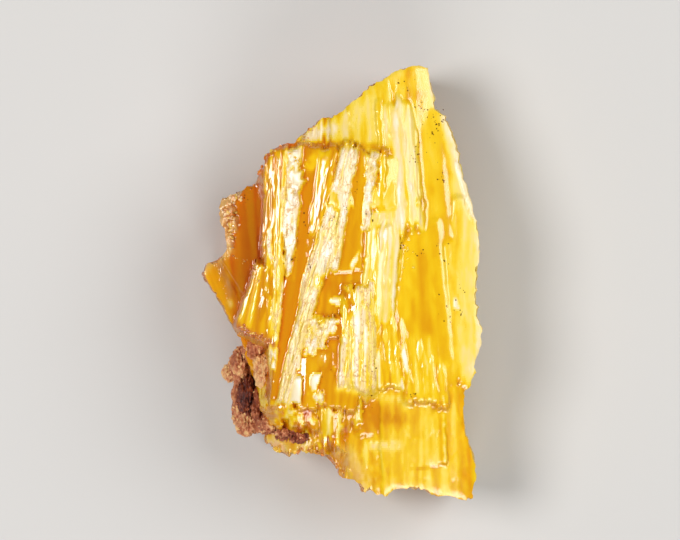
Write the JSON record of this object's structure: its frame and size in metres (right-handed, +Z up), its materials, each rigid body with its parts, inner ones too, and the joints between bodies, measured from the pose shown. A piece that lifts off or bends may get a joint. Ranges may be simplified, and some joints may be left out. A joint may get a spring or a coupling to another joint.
{
  "type": "legrandite crystal",
  "caption": "Loose yellow-orange crystal specimen: a broken fan of striated prisms grown together, with brown limonite matrix at its lower left, lying on its flat back.",
  "frame": {"origin": "under the middle of the specimen, on the surface it lies on", "axes": "+Y along the crystals towards their broken top, +Z up out of the best side, +X to the right of it"},
  "size_m": [0.0112, 0.017, 0.0063],
  "materials": {
    "crystal": "vitreous and see-through, lemon to amber, striated along the prisms",
    "matrix": "dull, earthy, fibrous and reddish brown"
  },
  "bodies": {
    "root": {"legrandite_crystal": "crystal", "limonite_matrix": "matrix"}
  },
  "joints": []
}
